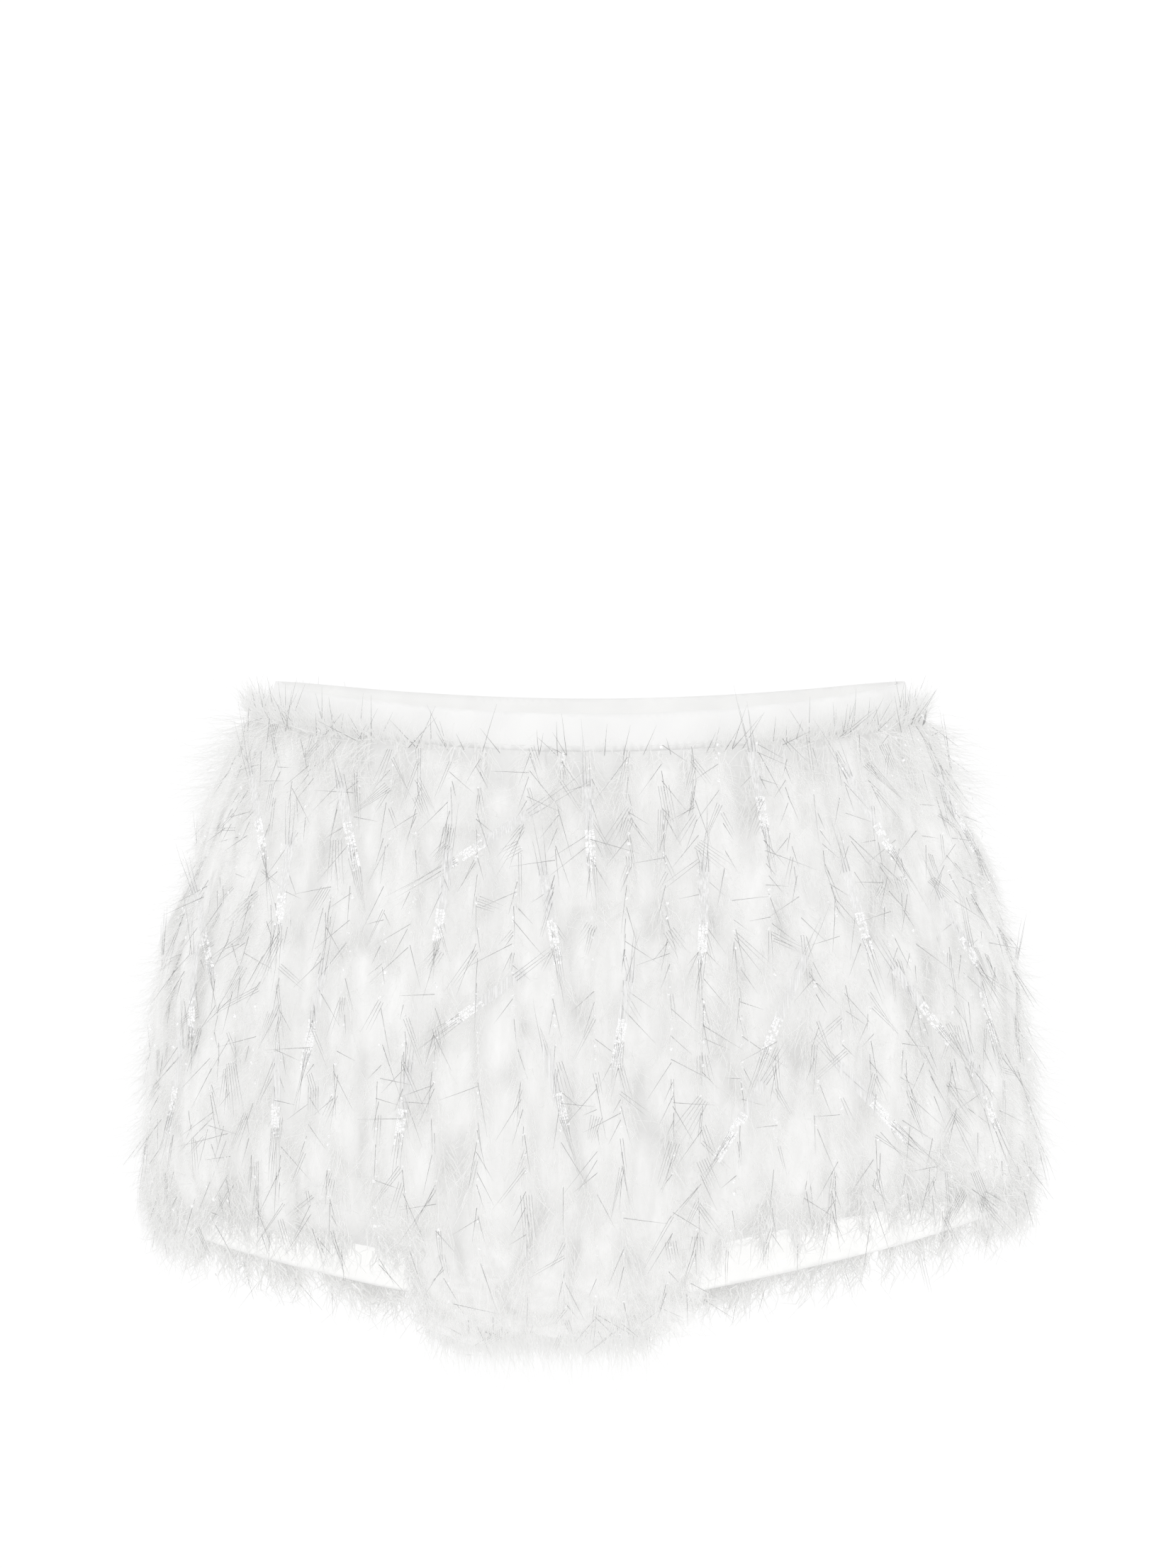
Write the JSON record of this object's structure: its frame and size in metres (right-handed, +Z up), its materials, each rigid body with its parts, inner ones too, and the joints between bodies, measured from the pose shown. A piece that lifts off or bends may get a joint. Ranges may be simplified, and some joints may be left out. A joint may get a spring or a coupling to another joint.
{
  "type": "feather fringe mini shorts",
  "caption": "Very short high-hipped costume shorts in white feather fringe with silver threads, a smooth waistband and a side zip with hook and eye.",
  "frame": {"origin": "centre of the waist opening, at the height of the dipping edge", "axes": "+Z up, -Y the front of the garment, +X the wearer's left, where the zip is"},
  "size_m": [0.4374, 0.2472, 0.314],
  "materials": {
    "feather_fringe": "soft white feather yarn with silver threads",
    "fringe_cloth": "white woven ground cloth",
    "organza": "smooth semi-sheer white organza",
    "lining_cloth": "plain white lining",
    "silver_strip": "silver lurex weave",
    "zip_tape": "white woven zip tape",
    "zip_coil": "white nylon",
    "zip_metal": "white enamelled zinc",
    "hook_wire": "nickel-plated wire",
    "label_satin": "blank satin ribbon"
  },
  "bodies": {
    "shorts": {"waistband_front": "organza", "waist_facing_front": "organza", "panel_front_right": "fringe_cloth", "lining_front_right": "lining_cloth", "hem_facing_front_right": "organza", "fringe_upper_front_right": "feather_fringe", "fringe_lower_front_right": "feather_fringe", "fringe_hem_front_right": "feather_fringe", "panel_front_left": "fringe_cloth", "lining_front_left": "lining_cloth", "hem_facing_front_left": "organza", "fringe_upper_front_left": "feather_fringe", "fringe_lower_front_left": "feather_fringe", "fringe_hem_front_left": "feather_fringe", "silver_strips_front": "silver_strip", "zip_tape_front": "zip_tape", "zip_coil_front": "zip_coil", "waistband_back": "organza", "waist_facing_back": "organza", "panel_back_right": "fringe_cloth", "lining_back_right": "lining_cloth", "hem_facing_back_right": "organza", "fringe_upper_back_right": "feather_fringe", "fringe_lower_back_right": "feather_fringe", "fringe_hem_back_right": "feather_fringe", "panel_back_left": "fringe_cloth", "lining_back_left": "lining_cloth", "hem_facing_back_left": "organza", "fringe_upper_back_left": "feather_fringe", "fringe_lower_back_left": "feather_fringe", "fringe_hem_back_left": "feather_fringe", "silver_strips_back": "silver_strip", "zip_tape_back": "zip_tape", "zip_coil_back": "zip_coil", "zip_top_stops": "zip_coil", "zip_bottom_stop": "zip_metal", "waist_hook": "hook_wire", "waist_eye": "hook_wire", "care_label": "label_satin"},
    "zip_slider_body": {"zip_slider": "zip_metal"},
    "zip_pull_body": {"zip_pull": "zip_metal"}
  },
  "joints": [
    {"name": "zip_slide", "type": "slide", "parent": "shorts", "child": "zip_slider_body", "axis": [0.3103, 0, -0.9506], "range_m": [0, 0.1]},
    {"name": "pull_swing", "type": "hinge", "parent": "zip_slider_body", "child": "zip_pull_body", "pos_m": [0.15157, 0, -0.00613], "axis": [0, -1, 0], "range_deg": [0, 160]}
  ]
}
